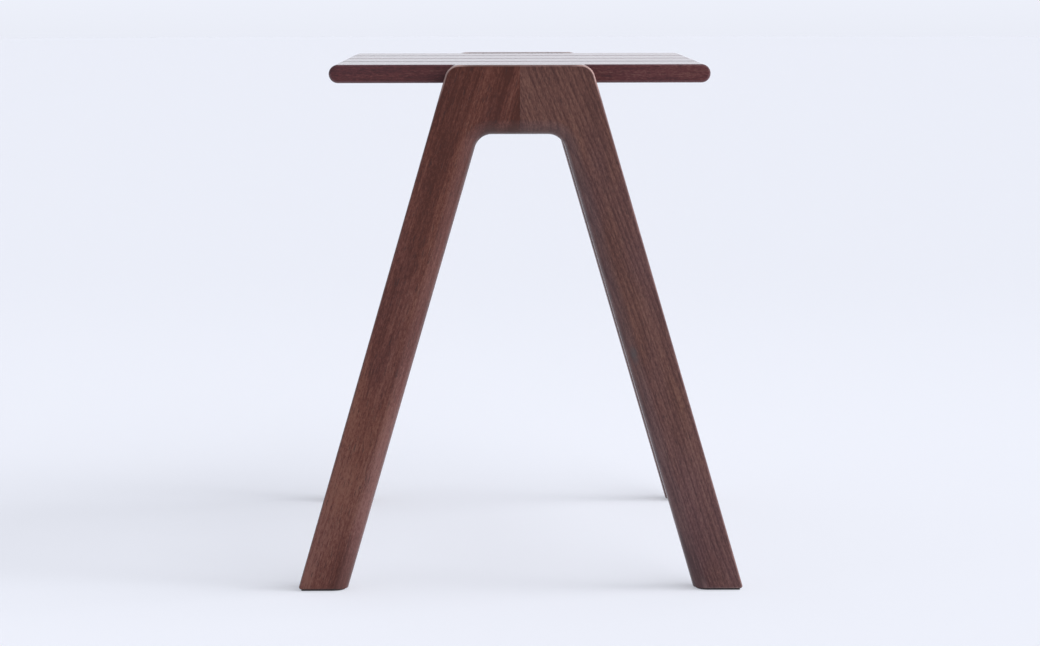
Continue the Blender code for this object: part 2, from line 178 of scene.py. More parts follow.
def leg_outline(foot_wear_and_highlight):
    """A right-hand leg with half the head: points, and each edge's round-over, wear and painted
    highlight.
    """
    seam = GLUE_LINE / 2
    head_corner = (HEAD_HALF_WIDTH, SEAT_HEIGHT)
    outer_foot = (leg_edge_x(FOOT_Z), FOOT_Z)
    inner_foot = (leg_edge_x(FOOT_Z, LEG_LEVEL_WIDTH), FOOT_Z)
    arch_corner = (leg_edge_x(ARCH_Z, LEG_LEVEL_WIDTH), ARCH_Z)
    seam_top = (seam, SEAT_HEIGHT)
    seam_bottom = (seam, ARCH_Z)
    head = fillet(head_corner, seam_top, outer_foot, HEAD_CORNER_RADIUS, HEAD_CORNER_STEPS)
    foot = fillet(outer_foot, head_corner, inner_foot, FOOT_CORNER_RADIUS, FOOT_CORNER_STEPS)
    arch = fillet(arch_corner, inner_foot, seam_bottom, ARCH_CORNER_RADIUS, ARCH_CORNER_STEPS)
    stretches = (
        ([seam_top] + straight(seam_top, head[0], HEAD_TOP_STEPS), OUTER_ROUND, HEAD_TOP_WEAR_AND_HIGHLIGHT),
        (head, OUTER_ROUND, HEAD_CORNER_WEAR_AND_HIGHLIGHT),
        (straight(head[-1], foot[0], LEG_EDGE_STEPS), OUTER_ROUND, OUTER_WEAR_AND_HIGHLIGHT),
        (foot, OUTER_ROUND, foot_wear_and_highlight),
        ([inner_foot] + straight(inner_foot, arch[0], LEG_EDGE_STEPS), INNER_ROUND, INNER_WEAR_AND_REFLECTION),
        (arch + straight(arch[-1], seam_bottom, ARCH_TOP_STEPS), INNER_ROUND, INNER_WEAR_AND_REFLECTION),
        ([seam_bottom], 0.0, 0.0),
    )
    points = [Vector(point) for stretch, _, _ in stretches for point in stretch]
    rounds = [radius for stretch, radius, _ in stretches for _ in stretch]
    wear_and_highlight_shares = [wear_and_highlight_share for stretch, _, wear_and_highlight_share in stretches for _ in stretch]
    return points, rounds, wear_and_highlight_shares


def stadium_outline(length, height, steps, stretch_steps=1):
    """A bar with half-round ends, lying along the first axis and centred on the origin."""
    radius = height / 2
    ends = []
    for side in (1, -1):
        centre = Vector((side * (length / 2 - radius), 0))
        ends.append([
            centre + radius * Vector((math.cos(angle), math.sin(angle)))
            for angle in (
                math.pi * step / steps - side * math.pi / 2 for step in range(steps + 1)
            )
        ])
    right, left = ends
    points = right + straight(right[-1], left[0], stretch_steps)
    points += left + straight(left[-1], right[0], stretch_steps)
    return points[::-1]


def rectangle(half_x, half_y):
    """Each corner of a rectangle in clockwise order, with the corners before and after it."""
    corners = [(-half_x, half_y), (half_x, half_y), (half_x, -half_y), (-half_x, -half_y)]
    return [(corner, corners[at - 1], corners[(at + 1) % 4]) for at, corner in enumerate(corners)]


def pad_outline():
    points = []
    sides = (LEG_LEVEL_WIDTH / 2 - PAD_INSET, FRAME_THICKNESS / 2 - PAD_INSET)
    for corner, before, after in rectangle(*sides):
        inner = corner[0] < 0
        radius = INNER_ROUND - PAD_INSET if inner else PAD_CORNER
        steps = PAD_ROUND_STEPS if inner else PAD_CORNER_STEPS
        points += fillet(corner, before, after, radius, steps)
    return points


def rail_outline():
    points = []
    for corner, before, after in rectangle(RAIL_WIDTH / 2, RAIL_HEIGHT / 2):
        points += fillet(corner, before, after, RAIL_ARRIS, RAIL_ARRIS_STEPS)
    return points


def inset_outline(points, insets):
    """The outline with each edge moved inwards by its own distance. The points run clockwise."""
    count = len(points)
    lines = []
    for index in range(count):
        along = (points[(index + 1) % count] - points[index]).normalized()
        inwards = Vector((along.y, -along.x))
        lines.append((points[index] + inwards * insets[index], along))
    moved = []
    for index in range(count):
        (start, along), (other, onward) = lines[index - 1], lines[index]
        across = along.x * onward.y - along.y * onward.x
        if abs(across) < PARALLEL:
            moved.append(other)
            continue
        to_other = other - start
        share = (to_other.x * onward.y - to_other.y * onward.x) / across
        moved.append(start + along * share)
    return moved


def round_inset(radius, depth):
    if depth >= radius:
        return 0.0
    return radius - math.sqrt(radius**2 - (radius - depth) ** 2)


def round_depths(radius, steps):
    return [radius * (1 - math.cos(math.pi / 2 * step / steps)) for step in range(steps + 1)]


# ---- meshes ----


def add_loft(bm, loops, wear=None):
    """The closed solid through a row of loops; the last argument gives each point's edge wear and
    painted highlight.
    """
    layer = bm.verts.layers.float.get("wear") or bm.verts.layers.float.new("wear")
    rings = []
    for row, loop in enumerate(loops):
        ring = [bm.verts.new(point) for point in loop]
        for column, vert in enumerate(ring):
            vert[layer] = wear[row][column] if wear else 0.0
        rings.append(ring)
    for ring, following in zip(rings, rings[1:]):
        for index in range(len(ring)):
            onward = (index + 1) % len(ring)
            bm.faces.new((ring[index], ring[onward], following[onward], following[index]))
    bm.faces.new(rings[0])
    bm.faces.new(rings[-1])


def wear_and_highlight_at(radius, depth):
    """How much wear and painted highlight a round-over has at this depth below its face: most at its
    middle, none at its ends.
    """
    if radius <= 0 or depth >= radius:
        return 0.0
    across = math.acos(1 - depth / radius) / (math.pi / 2)
    return math.sin(math.pi * across)


def add_plate(bm, points, rounds, wear_and_highlight_shares, thickness, depths, place):
    half = thickness / 2
    levels = [-half + depth for depth in depths] + [half - depth for depth in reversed(depths)]
    loops, wear = [], []
    for level in levels:
        depth = half - abs(level)
        moved = inset_outline(points, [round_inset(radius, depth) for radius in rounds])
        loops.append([place(point.x, point.y, level) for point in moved])
        wear.append([
            max(wear_and_highlight_shares[edge] * wear_and_highlight_at(rounds[edge], depth) for edge in (index - 1, index))
            for index in range(len(points))
        ])
    add_loft(bm, loops, wear)


def merged_depths(*depth_lists):
    """All the depths in order, without any that nearly coincide."""
    merged = []
    for depth in sorted(depth for depths in depth_lists for depth in depths):
        if not merged or depth - merged[-1] > LEAST_DEPTH_STEP:
            merged.append(depth)
    return merged


def add_turned(bm, profile, sides, matrix, shape=None):
    """The closed solid that (radius, height) points make about Z. shape may change a point's radius."""
    loops = []
    for radius, height in profile:
        ring = []
        for side in range(sides):
            angle = 2 * math.pi * side / sides
            reach = shape(radius, height, angle) if shape else radius
            ring.append(matrix @ Vector((reach * math.cos(angle), reach * math.sin(angle), height)))
        loops.append(ring)
    add_loft(bm, loops)


def grain_axes(along, across=(0, 1, 0)):
    """The turn from a piece's own axes to its grain's: Z along the grain, Y near across."""
    z = Vector(along).normalized()
    y = Vector(across)
    y = (y - z * y.dot(z)).normalized()
    x = y.cross(z)
    return Matrix((x, y, z)).to_euler()


def mesh_of(name, bm):
    mesh = bpy.data.meshes.new(name)
    bm.to_mesh(mesh)
    bm.free()
    return mesh


def add_object(name, data):
    obj = bpy.data.objects.new(name, data)
    bpy.context.scene.collection.objects.link(obj)
    return obj


def make_piece(name, bm, placement, material, node, cutters=()):
    """Turns a bmesh in the row frame into a piece whose own origin is placement's."""
    bmesh.ops.recalc_face_normals(bm, faces=bm.faces)
    mesh = mesh_of(name, bm)
    mesh.transform(placement.inverted())
    mesh.materials.append(material)
    obj = add_object(name, mesh)
    obj.matrix_world = placement
    if cutters:
        drill(obj, cutters)
    finish_normals(obj)
    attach(obj, "root")
    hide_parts(node)


def finish_normals(obj):
    obj.data.shade_smooth()
    obj.data.set_sharp_from_angle(angle=SHARP_ANGLE)
    modifier = obj.modifiers.new("face_weighted", "WEIGHTED_NORMAL")
    modifier.keep_sharp = True
    modifier.weight = FACE_AREA_WEIGHT


def drill(obj, cutters):
    """Takes the cutters, each a bmesh in the row frame, out of the piece."""
    bpy.context.view_layer.update()
    made = []
    for number, cutter in enumerate(cutters):
        bmesh.ops.recalc_face_normals(cutter, faces=cutter.faces)
        name = f"{obj.name}_cutter_{number}"
        tool = add_object(name, mesh_of(name, cutter))
        modifier = obj.modifiers.new("hole", "BOOLEAN")
        modifier.object = tool
        modifier.solver = "EXACT"
        made.append(tool)
    bpy.context.view_layer.update()
    graph = bpy.context.evaluated_depsgraph_get()
    drilled = bpy.data.meshes.new_from_object(obj.evaluated_get(graph))
    obj.modifiers.clear()
    obj.data = drilled
    for tool in made:
        bpy.data.objects.remove(tool)


def cylinder(radius, bottom, top, matrix):
    bm = bmesh.new()
    add_turned(bm, [(radius, bottom), (radius, top)], HOLE_SIDES, matrix)
    return bm


def along_y(x, y, z):
    return Matrix.Translation((x, y, z)) @ Matrix.Rotation(-math.pi / 2, 4, "X")


def mortise(low, high):
    """The tenon's box with half-round top and bottom, a little larger all round."""
    half_y = (high.y - low.y) / 2 + PLAY
    height = high.z - low.z + 2 * PLAY
    outline = stadium_outline(height, 2 * half_y, MORTISE_STEPS)
    middle = (low + high) / 2
    bm = bmesh.new()
    loops = [
        [Vector((x, middle.y + point.y, middle.z + point.x)) for point in outline]
        for x in (low.x - PLAY, high.x + PLAY)
    ]
    add_loft(bm, loops)
    return bm


# ---- materials ----

NOISE_MEAN = 0.5


class Graph:
    """A node tree, with short calls for the nodes used here."""

    def __init__(self, owner, shader):
        owner.use_nodes = True
        self.owner = owner
        self.tree = owner.node_tree
        self.shader = self.tree.nodes[shader]

    def node(self, kind, inputs=None, **settings):
        made = self.tree.nodes.new(kind)
        for key, value in settings.items():
            setattr(made, key, value)
        for key, value in (inputs or {}).items():
            self.put(made.inputs[key], value)
        return made

    def put(self, socket, value):
        if isinstance(value, bpy.types.NodeSocket):
            self.tree.links.new(value, socket)
        elif isinstance(value, tuple) and len(value) == 3 and socket.type == "RGBA":
            socket.default_value = (*value, 1.0)
        else:
            socket.default_value = value

    def shade(self, inputs):
        """Fills in the shader's own sockets."""
        for key, value in inputs.items():
            self.put(self.shader.inputs[key], value)

    def coordinates(self, kind="Object"):
        return self.node("ShaderNodeTexCoord").outputs[kind]

    def turned(self, kind, turn):
        inputs = {"Vector": self.coordinates(kind), "Rotation": turn}
        return self.node("ShaderNodeMapping", inputs).outputs["Vector"]

    def attribute(self, name):
        return self.node("ShaderNodeAttribute", attribute_name=name).outputs["Fac"]

    def math(self, operation, first, second=0.0, third=0.0, clamp=False):
        inputs = {0: first, 1: second, 2: third}
        return self.node("ShaderNodeMath", inputs, operation=operation, use_clamp=clamp).outputs[0]

    def plus(self, base, value, times, clamp=False):
        """base + value × times."""
        return self.math("MULTIPLY_ADD", value, times, base, clamp)

    def vary(self, base, noise, amount):
        """base, moved up and down by a noise about its mean."""
        return self.plus(base, self.math("SUBTRACT", noise, NOISE_MEAN), amount)

    def vector(self, operation, first, second=(0, 0, 0)):
        made = self.node("ShaderNodeVectorMath", {0: first, 1: second}, operation=operation)
        return made.outputs["Value" if operation == "LENGTH" else "Vector"]

    def scaled(self, vector, by):
        made = self.node("ShaderNodeVectorMath", {0: vector, "Scale": by}, operation="SCALE")
        return made.outputs["Vector"]

    def part(self, vector, axis):
        return self.node("ShaderNodeSeparateXYZ", {0: vector}).outputs[axis]

    def noise(self, place, scale, detail=2.0, roughness=0.5, colour=False):
        """Noise whose grains are 1/scale long along each axis."""
        stretched = self.vector("MULTIPLY", place, scale)
        inputs = {"Vector": stretched, "Scale": 1.0, "Detail": detail, "Roughness": roughness}
        made = self.node("ShaderNodeTexNoise", inputs)
        return made.outputs["Color" if colour else "Fac"]

    def ramp(self, value, *stops):
        made = self.node("ShaderNodeValToRGB", {"Fac": value})
        elements = made.color_ramp.elements
        while len(elements) < len(stops):
            elements.new(0.5)
        for element, (position, shade) in zip(elements, stops):
            rgb = shade if isinstance(shade, tuple) else (shade, shade, shade)
            element.position = position
            element.color = (*rgb, 1.0)
        return made.outputs["Color"]

    def span(self, value, low, high, to_low=0.0, to_high=1.0, smooth=False):
        """to_low up to low, to_high from high on, and in between along a line or a smooth step."""
        inputs = {"Value": value, "From Min": low, "From Max": high, "To Min": to_low, "To Max": to_high}
        interpolation = "SMOOTHSTEP" if smooth else "LINEAR"
        made = self.node("ShaderNodeMapRange", inputs, clamp=True, interpolation_type=interpolation)
        return made.outputs["Result"]

    def blend(self, share, first, second, mode="MIX"):
        made = self.node("ShaderNodeMix", data_type="RGBA", blend_type=mode)
        self.put(made.inputs["Factor"], share)
        self.put(made.inputs["A"], first)
        self.put(made.inputs["B"], second)
        return made.outputs["Result"]

    def bump(self, height, strength, distance):
        inputs = {"Strength": strength, "Distance": distance, "Height": height}
        self.shade({"Normal": self.node("ShaderNodeBump", inputs).outputs["Normal"]})


def new_material(name):
    return Graph(bpy.data.materials.new(name), "Principled BSDF")


# Each noise: grains per metre along the grain's X, Y and Z, then detail and roughness
KNOT_NOISE = ((260.0, 260.0, 160.0), 3.0, 0.6)
SWAY_NOISE = ((13.0, 13.0, 3.4), 1.0)
BANDS = ((85.0, 85.0, 9.0), 2.0, 0.6)
FIBRES = ((480.0, 480.0, 26.0), 3.0, 0.65)
HAIRS = ((950.0, 950.0, 330.0), 3.0, 0.75)
CLOUDS = ((24.0, 24.0, 8.0), 2.0, 0.5)
PORES = ((1400.0, 1400.0, 95.0), 1.0, 0.4)
# patches in the edge wear, which also paints highlights on the edges
WEAR_AND_HIGHLIGHT_PATCHES = ((60.0, 60.0, 25.0), 2.0)
NOISE_SHIFT = 5.0  # the furthest that a seed moves a piece's noises along each axis

KNOT_STRETCH = (1.0, 0.25, 0.42)  # the smaller, the further the knot reaches along that axis
KNOT_PUSH = 0.000022
KNOT_SOFTENING = 0.003
KNOT_RAGGEDNESS = 0.0035
KNOT_EDGE = (0.0024, 0.0058)
KNOT_DARKNESS = 0.8

RING_SWAY = (0.02, 0.02, 0.0)
RING_NOISE_SCALE = 90.0
RING_NOISE_DETAIL = 1.0
RING_UNEVENNESS = 2.4
RING_PROFILE = ((0.0, 0.0), (0.4, 0.1), (0.85, 1.0), (1.0, 0.0))
RING_MEAN = 0.3

BAND_TONE = 0.75
FIBRE_TONE = 0.95
HAIR_TONE = 1.9
STRIPE_SWAY = 0.016
TONE_STOPS = ((0.1, "dark"), (0.5, "middle"), (0.9, "light"))
BLUSH_SPAN = (0.38, 0.66)
# how strongly the edges take the purple cast: a painted reflection of the pale room on their round-overs
EDGE_REFLECTION_BLUSH = 2.4

PORE_LEVEL = 0.67
EARLY_PORE_LEVEL = -0.035
PORE_SHARPNESS = 22.0
PORE_DARKNESS = 0.6
END_FACING = (0.3, 0.9)
WEAR_AND_HIGHLIGHT_PATCH_SPAN = (0.3, 0.7, 0.45, 1.0)

FIBRE_ROUGHNESS = 0.22
PORE_ROUGHNESS = 0.2
RUBBED_ROUGHNESS = -0.05
HAIR_HEIGHT = 0.2
FIBRE_HEIGHT = 0.35
PORE_HEIGHT = -0.75
BAND_HEIGHT = 0.3
WOOD_RELIEF = 0.0002
COAT_IOR = 1.25
COAT_ROUGHNESS = 0.16


def pin_knot(g, own, place, centre):
    """The noises' place with the grain pushed aside by a pin knot, and how dark the knot is there."""
    off = g.vector("MULTIPLY", g.vector("SUBTRACT", own, centre), KNOT_STRETCH)
    reach = g.vector("LENGTH", off)
    aside = g.math("DIVIDE", KNOT_PUSH, g.math("ADD", reach, KNOT_SOFTENING))
    place = g.vector("ADD", place, g.scaled(off, aside))
    ragged = g.math("MULTIPLY", g.noise(place, *KNOT_NOISE), KNOT_RAGGEDNESS)
    return place, g.span(g.math("ADD", reach, ragged), *KNOT_EDGE, 1.0, 0.0)


def late_wood(g, own, sway, figure):
    """Annual rings about a pith outside the piece, bent by slow noise: 1 in each ring's late wood."""
    bent = g.vector("ADD", own, g.vector("MULTIPLY", sway, RING_SWAY))
    along = g.part(bent, "Z")
    pith_x, pith_y = figure["pith"]
    leaning_x = g.plus(pith_x, along, figure["lean"])
    pith = g.node("ShaderNodeCombineXYZ", {0: leaning_x, 1: pith_y, 2: along}).outputs[0]
    radius = g.vector("LENGTH", g.vector("SUBTRACT", bent, pith))
    inputs = {"W": radius, "Scale": RING_NOISE_SCALE, "Detail": RING_NOISE_DETAIL}
    uneven = g.node("ShaderNodeTexNoise", inputs, noise_dimensions="1D").outputs["Fac"]
    turns = g.plus(g.math("DIVIDE", radius, figure["spacing"]), uneven, RING_UNEVENNESS)
    return g.ramp(g.math("FRACT", turns), *RING_PROFILE)


def wood_tone(g, own, sway, figure, late, noises):
    """How light the wood is, from 0 to 1: fine noises, rings, stripes, and a drift along the piece."""
    tone = figure["tone"]
    for noise, share in zip(noises, (BAND_TONE, FIBRE_TONE, HAIR_TONE)):
        tone = g.vary(tone, noise, share * figure["contrast"])
    tone = g.plus(g.math("ADD", tone, RING_MEAN * figure["rings"]), late, -figure["rings"])
    across = g.part(g.vector("ADD", own, g.scaled(sway, STRIPE_SWAY)), "X")
    lengthwise = g.part(own, "Z")
    for centre, half_width, strength, none_at, full_at in figure["stripes"]:
        apart = g.math("ABSOLUTE", g.math("SUBTRACT", across, centre))
        beside = g.span(apart, 0.0, half_width, strength, 0.0)
        here = g.math("MULTIPLY", beside, g.span(lengthwise, none_at, full_at))
        tone = g.math("ADD", tone, here)
    rate, level = figure["drift"]
    return g.plus(tone, g.math("SUBTRACT", lengthwise, level), rate, clamp=True)


def wood_blush(g, own, place, figure, wear):
    """The share of the purple cast: in clouds, changing along the piece, and on worn edges, where it is
    a painted reflection of the pale room.
    """
    level = figure["drift"][1]
    past_level = g.math("SUBTRACT", g.part(own, "Z"), level)
    deeper = g.plus(g.noise(place, *CLOUDS), past_level, figure["deepen"])
    return g.plus(g.span(deeper, *BLUSH_SPAN, 0.0, figure["blush"]), wear, EDGE_REFLECTION_BLUSH, clamp=True)


def open_pores(g, place, late, share):
    """Short dark dashes along the grain, thickest in the early wood."""
    threshold = g.plus(PORE_LEVEL, g.math("SUBTRACT", 1.0, late), EARLY_PORE_LEVEL)
    above = g.math("SUBTRACT", g.noise(place, *PORES), threshold)
    return g.math("MULTIPLY", g.math("MULTIPLY", above, PORE_SHARPNESS, clamp=True), share)


def wood(name, seed, grain, palette, figure, finish):
    """Solid wood: rings, fibres and pores run through the piece and so meet at every edge.

    grain turns the piece's axes to Z along the grain. figure places the rings and any pale or dark
    stripe or pin knot in those turned axes.
    """
    dice = random.Random(seed)
    g = new_material(name)
    own = g.turned("Object", grain)
    shift = tuple(dice.uniform(-NOISE_SHIFT, NOISE_SHIFT) for _ in range(3))
    place = g.vector("ADD", own, shift)
    knot = None
    if figure["knot"]:
        place, knot = pin_knot(g, own, place, figure["knot"])
    sway = g.vector("SUBTRACT", g.noise(place, *SWAY_NOISE, colour=True), (NOISE_MEAN,) * 3)
    late = late_wood(g, own, sway, figure)
    bands, fibres, hairs = (g.noise(place, *kind) for kind in (BANDS, FIBRES, HAIRS))
    pores = open_pores(g, place, late, finish["pores"])
    end = g.span(g.math("ABSOLUTE", g.part(g.turned("Normal", grain), "Z")), *END_FACING)
    wear = g.attribute("wear")
    patchy_wear_and_highlight = g.math("MULTIPLY", wear, g.span(g.noise(place, *WEAR_AND_HIGHLIGHT_PATCHES), *WEAR_AND_HIGHLIGHT_PATCH_SPAN))

    # end grain is darker and drier; worn arrises are a little paler and smoother, and the paler colour
    # also paints their highlight
    tone = wood_tone(g, own, sway, figure, late, (bands, fibres, hairs))
    colour = g.ramp(tone, *((stop, palette[key]) for stop, key in TONE_STOPS))
    colour = g.blend(wood_blush(g, own, place, figure, wear), colour, palette["blush"], "MULTIPLY")
    colour = g.blend(g.math("MULTIPLY", pores, PORE_DARKNESS), colour, palette["pore"])
    if knot:
        colour = g.blend(g.math("MULTIPLY", knot, KNOT_DARKNESS), colour, palette["knot"])
    colour = g.blend(g.math("MULTIPLY", end, finish["end"]), colour, palette["end"])
    worn_and_highlight = g.math("MULTIPLY", patchy_wear_and_highlight, finish["wear"], clamp=True)
    colour = g.blend(worn_and_highlight, colour, palette["worn_and_highlight"])

    rough = g.vary(finish["roughness"], fibres, FIBRE_ROUGHNESS)
    rough = g.plus(rough, pores, PORE_ROUGHNESS)
    rough = g.plus(rough, end, finish["end_roughness"])
    rough = g.plus(rough, patchy_wear_and_highlight, RUBBED_ROUGHNESS, clamp=True)

    height = g.plus(g.math("MULTIPLY", hairs, HAIR_HEIGHT), fibres, FIBRE_HEIGHT)
    height = g.plus(height, pores, PORE_HEIGHT)
    height = g.plus(height, bands, BAND_HEIGHT)
    g.bump(height, finish["bump"], WOOD_RELIEF)
    g.shade({
        "Base Color": colour,
        "Roughness": rough,
        "Specular IOR Level": finish["specular"],
        "Coat Weight": finish["coat"],
        "Coat IOR": COAT_IOR,
        "Coat Roughness": COAT_ROUGHNESS,
    })
    return g.owner


# BLUSH also tints worn edges, where it paints their reflection of the pale room
BLUSH = (0.93, 1.02, 1.28)  # the purple cast of some of the heartwood
WALNUT_KNOT = (0.058, 0.056, 0.060)
WALNUT = {
    "dark": (0.057, 0.017, 0.012),
    "middle": (0.101, 0.033, 0.024),
    "light": (0.157, 0.066, 0.046),
    "blush": BLUSH,
    "pore": (0.027, 0.016, 0.016),
    "end": (0.050, 0.023, 0.017),
    # the paler colour of worn edges, which also paints their highlight
    "worn_and_highlight": (0.345, 0.231, 0.211),
    "knot": WALNUT_KNOT,
}
COOL_WALNUT = {
    "dark": (0.062, 0.026, 0.023),
    "middle": (0.108, 0.047, 0.038),
    "light": (0.161, 0.079, 0.059),
    "blush": BLUSH,
    "pore": (0.028, 0.018, 0.019),
    "end": (0.052, 0.028, 0.022),
    # brighter and pinker than the others: mostly a painted highlight on the right leg's edges, lit from
    # the right
    "worn_and_highlight": (0.450, 0.290, 0.265),
    "knot": WALNUT_KNOT,
}
DARK_WALNUT = {
    "dark": (0.051, 0.019, 0.020),
    "middle": (0.092, 0.028, 0.028),
    "light": (0.142, 0.064, 0.052),
    "blush": BLUSH,
    "pore": (0.024, 0.015, 0.016),
    "end": (0.048, 0.021, 0.019),
    # the slats' worn edge colour, which also paints their highlight and reflection
    "worn_and_highlight": (0.252, 0.167, 0.162),
    "knot": WALNUT_KNOT,
}
BEECH = {
    "dark": (0.40, 0.23, 0.12),
    "middle": (0.58, 0.37, 0.21),
    "light": (0.70, 0.49, 0.31),
    "blush": (0.95, 0.90, 0.86),
    "pore": (0.25, 0.13, 0.07),
    "end": (0.42, 0.25, 0.14),
    "worn_and_highlight": (0.70, 0.49, 0.31),
    "knot": (0.30, 0.17, 0.09),
}
OILED = {
    "pores": 1.0,
    "roughness": 0.46,
    "end_roughness": 0.14,
    "end": 0.6,
    # how far the edges take the worn colour: their wear and painted highlight
    "wear": 0.36,
    "bump": 0.35,
    "specular": 0.04,
    "coat": 0.9,
}
BARE = {
    "pores": 0.5,
    "roughness": 0.62,
    "end_roughness": 0.1,
    "end": 0.3,
    "wear": 0.1,
    "bump": 0.3,
    "specular": 0.4,
    "coat": 0.0,
}

# A figure says:
# pith: where the rings' centre is, off the piece; lean: how far it moves over along the piece
# spacing: the width of a ring; rings and contrast: how strong the rings and the fine noises are
# tone: how light the wood is; drift: how that changes along the piece, and the level it changes about
# blush: how strong the purple cast is; deepen: how that changes along the piece
# stripes: each one's centre, half width and strength, and between which levels it fades in
# knot: where a pin knot is, if there is one
PLAIN_FIGURE = {
    "drift": (0.0, 0.0),
    "deepen": 0.0,
    "tone": 0.5,
    "stripes": (),
    "knot": None,
}
WALNUT_FIGURE = {**PLAIN_FIGURE, "rings": 0.2, "blush": 0.7, "contrast": 0.85}
BEECH_FIGURE = {
    **PLAIN_FIGURE,
    "pith": (0.06, 0.03),
    "spacing": 0.0025,
    "lean": 0.02,
    "rings": 0.15,
    "blush": 0.4,
    "contrast": 1.0,
}
PITH_ANGLES = (0.25, 2.9)
PITH_DISTANCES = (0.07, 0.13)
RING_SPACINGS = (0.0032, 0.0052)
PITH_LEANS = (-0.08, 0.08)


def walnut(name, seed, grain, palette=WALNUT, **chosen):
    """Walnut whose pith, rings and lean are drawn at random, except for what is chosen."""
    dice = random.Random(seed * 7 + 1)
    angle = dice.uniform(*PITH_ANGLES)
    reach = dice.uniform(*PITH_DISTANCES)
    figure = {
        **WALNUT_FIGURE,
        "pith": (reach * math.cos(angle), reach * math.sin(angle)),
        "spacing": dice.uniform(*RING_SPACINGS),
        "lean": dice.uniform(*PITH_LEANS),
        **chosen,
    }
    return wood(name, seed, grain, palette, figure, OILED)


def beech(name, seed, grain):
    return wood(name, seed, grain, BEECH, BEECH_FIGURE, BARE)


DUST = ((140.0, 140.0, 140.0), 3.0, 0.6)
GRIT = ((2600.0, 2600.0, 2600.0), 2.0, 0.6)
DUST_SHADE = 0.5
GRIT_SHADE = 0.5
RUBBER_SHADES = ((0.3, (0.012, 0.011, 0.013)), (0.7, (0.040, 0.036, 0.040)))
RUBBER_SCUFF = (0.07, 0.066, 0.07)
SCUFF_SHARE = 0.4
RUBBER_ROUGHNESS = 0.62
DUST_ROUGHNESS = 0.25
RUBBER_BUMP = 0.4
RUBBER_RELIEF = 0.0001


def rubber_material():
    """Dense dark rubber sheet: fine grain, dusty variation, paler scuffs on its cut edge."""
    g = new_material("pad_rubber")
    place = g.coordinates()
    dust = g.noise(place, *DUST)
    grit = g.noise(place, *GRIT)
    shade = g.plus(g.math("MULTIPLY", dust, DUST_SHADE), grit, GRIT_SHADE)
    colour = g.ramp(shade, *RUBBER_SHADES)
    colour = g.blend(g.math("MULTIPLY", g.attribute("wear"), SCUFF_SHARE), colour, RUBBER_SCUFF)
    g.bump(grit, RUBBER_BUMP, RUBBER_RELIEF)
    g.shade({"Base Color": colour, "Roughness": g.plus(RUBBER_ROUGHNESS, dust, DUST_ROUGHNESS)})
    return g.owner


MOTTLE = ((900.0, 900.0, 900.0), 3.0, 0.6)
TURNING_MARKS = ((300.0, 300.0, 9000.0), 2.0, 0.5)
STEEL_SHADES = ((0.3, (0.42, 0.42, 0.43)), (0.75, (0.63, 0.62, 0.60)))
STEEL_ROUGHNESS = 0.24
MOTTLE_ROUGHNESS = 0.25
STEEL_BUMP = 0.2
STEEL_RELIEF = 0.00005


def steel_material():
    """Zinc-plated steel with fine turning marks and a mottled passivation."""
    g = new_material("zinc_steel")
    place = g.coordinates()
    mottle = g.noise(place, *MOTTLE)
    g.bump(g.noise(place, *TURNING_MARKS), STEEL_BUMP, STEEL_RELIEF)
    g.shade({
        "Base Color": g.ramp(mottle, *STEEL_SHADES),
        "Metallic": 1.0,
        "Roughness": g.plus(STEEL_ROUGHNESS, mottle, MOTTLE_ROUGHNESS),
    })
    return g.owner


# ---- pieces ----

ENDS = (("near", -1), ("far", 1))
SIDES = (("left", -1), ("right", 1))

LEG_SEED = 11  # the first leg's; the others count on from it
SLAT_SEED = 30  # plus the slat's number
RAIL_SEEDS = {"left": 41, "right": 42}
DOWEL_SEED = 51
TENON_SEED = 61

LEG_FIGURES = {
    "near_left_leg": {
        "pith": (-0.11, 0.05),
        "lean": 0.03,
        "rings": 0.16,
        "tone": 0.39,
        "stripes": (
            (0.013, 0.012, 0.22, -0.45, -0.36),
            (0.0385, 0.006, 0.34, -0.2, -0.1),
            (0.030, 0.0035, -0.22, -0.2, -0.1),
            (0.048, 0.005, -0.24, -0.2, -0.1),
            (-0.019, 0.009, 0.24, -0.03, -0.14),
            # darkens the inner edge towards the foot: painted shade near the floor
            (0.015, 0.015, -0.5, -0.4, -0.455),
            (-0.002, 0.026, 0.2, -0.27, -0.36),
            # darker towards the foot: painted shade near the floor
            (0.0, 0.026, -0.3, -0.4, -0.445),
        ),
        "drift": (-0.95, -0.25),
        "blush": 0.6,
        "deepen": -0.55,
    },
    "near_right_leg": {
        "palette": COOL_WALNUT,
        "pith": (0.085, 0.06),
        "lean": -0.09,
        "spacing": 0.0034,
        "rings": 0.34,
        "tone": 0.46,
        "stripes": (
            (-0.034, 0.01, 0.2, -0.2, -0.1),
            # darker towards the foot: painted shade near the floor
            (-0.008, 0.022, -0.4, -0.4, -0.45),
        ),
        "drift": (-0.25, -0.2),
        "knot": (-0.0137, -0.0124, -0.252),
        "blush": 0.9,
        "deepen": -0.9,
    },
    "far_left_leg": {},
    "far_right_leg": {},
}
SLAT_FIGURE = {
    "palette": DARK_WALNUT,
    "contrast": 0.78,
    "rings": 0.12,
    "blush": 0.5,
    # lighter towards the right: painted light from the right
    "drift": (0.9, 0.07),
}


def middle_of(name):
    low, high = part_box(name)
    return (low + high) / 2


def upright_at(name):
    """Where the upright screw of this name has its axis."""
    middle = middle_of(name)
    return Matrix.Translation((middle.x, middle.y, 0))


def dowel_hole(name):
    low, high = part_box(name)
    radius = (high.z - low.z) / 2 + PLAY
    half = (high.y - low.y) / 2 + PLAY
    return cylinder(radius, -half, half, along_y(*middle_of(name)))


